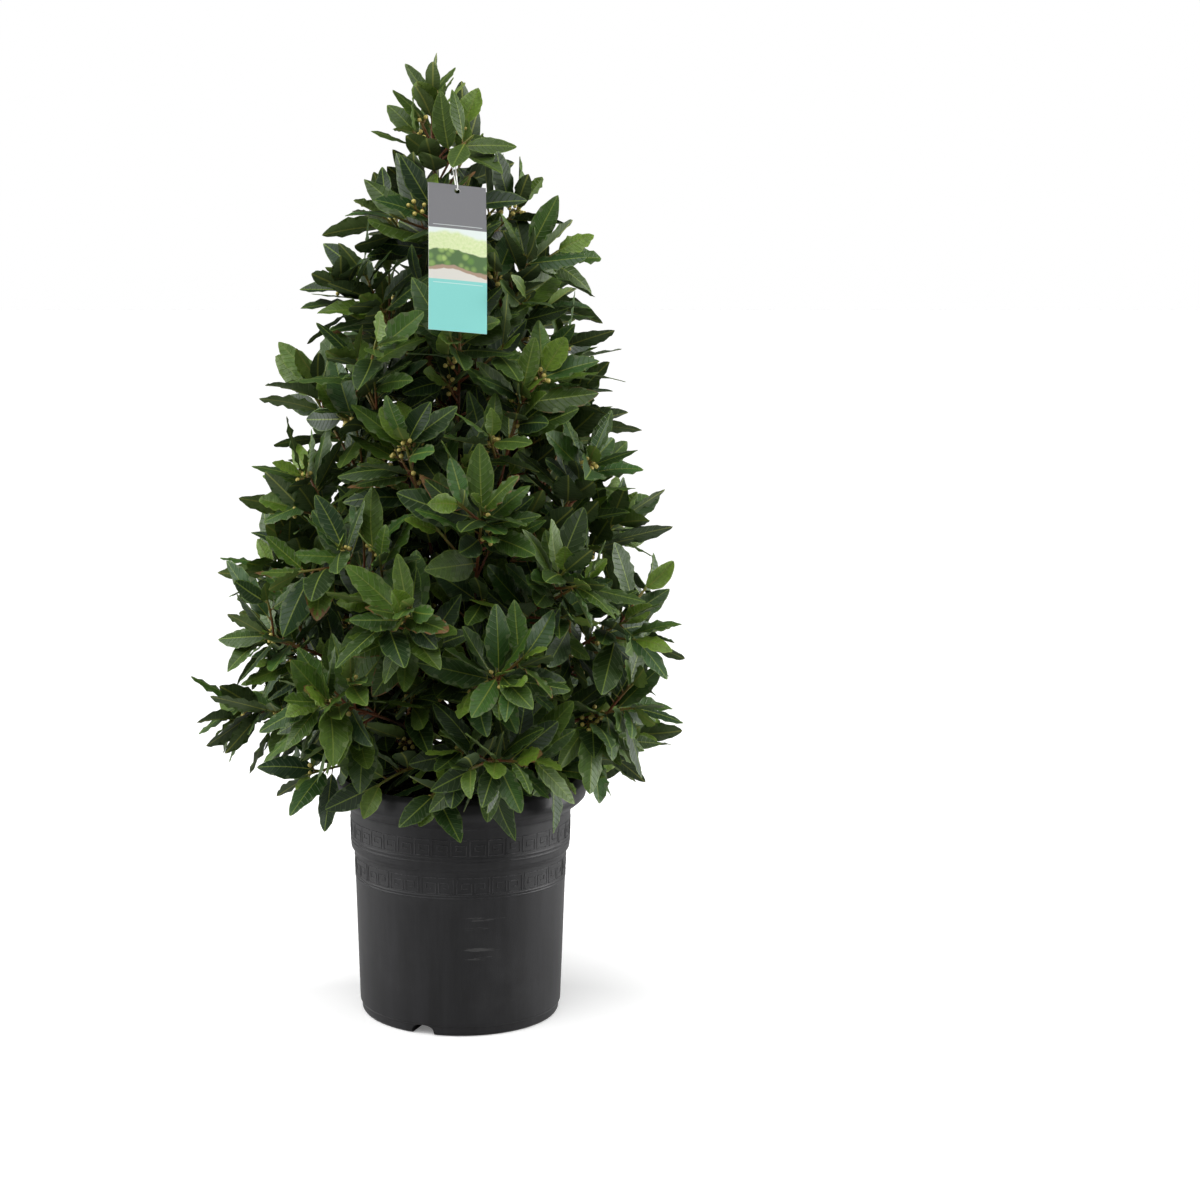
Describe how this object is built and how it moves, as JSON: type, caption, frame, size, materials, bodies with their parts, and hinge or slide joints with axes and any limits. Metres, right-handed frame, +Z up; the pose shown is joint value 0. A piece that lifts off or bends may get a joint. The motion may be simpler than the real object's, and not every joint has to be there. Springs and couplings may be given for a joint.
{
  "type": "potted bay laurel",
  "caption": "Pyramid-shaped bay laurel with leathery pointed leaves and flower buds, in a round dark nursery pot with a rolled lip and low key-pattern bands, with a blank hang tag",
  "frame": {"origin": "centre of the pot's flat underside", "axes": "+Z up along the pot's axis; -Y is the side that faces the viewer in the picture, with the hang tag on it; +X is to the viewer's right"},
  "size_m": [0.4585, 0.46, 0.9005],
  "materials": {
    "pot_plastic": "dark charcoal moulded plastic, lightly scuffed, satin",
    "soil": "dark brown potting compost with bits of bark, matt",
    "bark": "thin smooth brown bark, matt",
    "leaf": "leathery evergreen leaf, satin above with a pale midrib and margin, lighter below; yellow-green buds",
    "tag_card": "coated card, grey and turquoise fields, unprinted",
    "string": "thin white cotton string"
  },
  "bodies": {
    "root": {"pot": "pot_plastic", "soil": "soil", "trunk_and_limbs": "bark", "tag": "tag_card", "tag_string": "string", "spray_01": "leaf", "spray_02": "leaf", "spray_03": "leaf", "spray_04": "leaf", "spray_05": "leaf", "spray_06": "leaf", "spray_07": "leaf", "spray_08": "leaf", "spray_09": "leaf", "spray_10": "leaf", "spray_11": "leaf", "spray_12": "leaf", "spray_13": "leaf", "spray_14": "leaf", "spray_15": "leaf", "spray_16": "leaf", "spray_17": "leaf", "spray_18": "leaf", "spray_19": "leaf", "spray_20": "leaf", "spray_21": "leaf", "spray_22": "leaf", "spray_23": "leaf", "spray_24": "leaf", "spray_25": "leaf", "spray_26": "leaf", "spray_27": "leaf", "spray_28": "leaf", "spray_29": "leaf", "spray_30": "leaf", "spray_31": "leaf", "spray_32": "leaf", "spray_33": "leaf", "spray_34": "leaf", "spray_35": "leaf", "spray_36": "leaf", "spray_37": "leaf", "spray_38": "leaf", "spray_39": "leaf", "spray_40": "leaf", "spray_41": "leaf", "spray_42": "leaf", "leader": "leaf"}
  },
  "joints": []
}
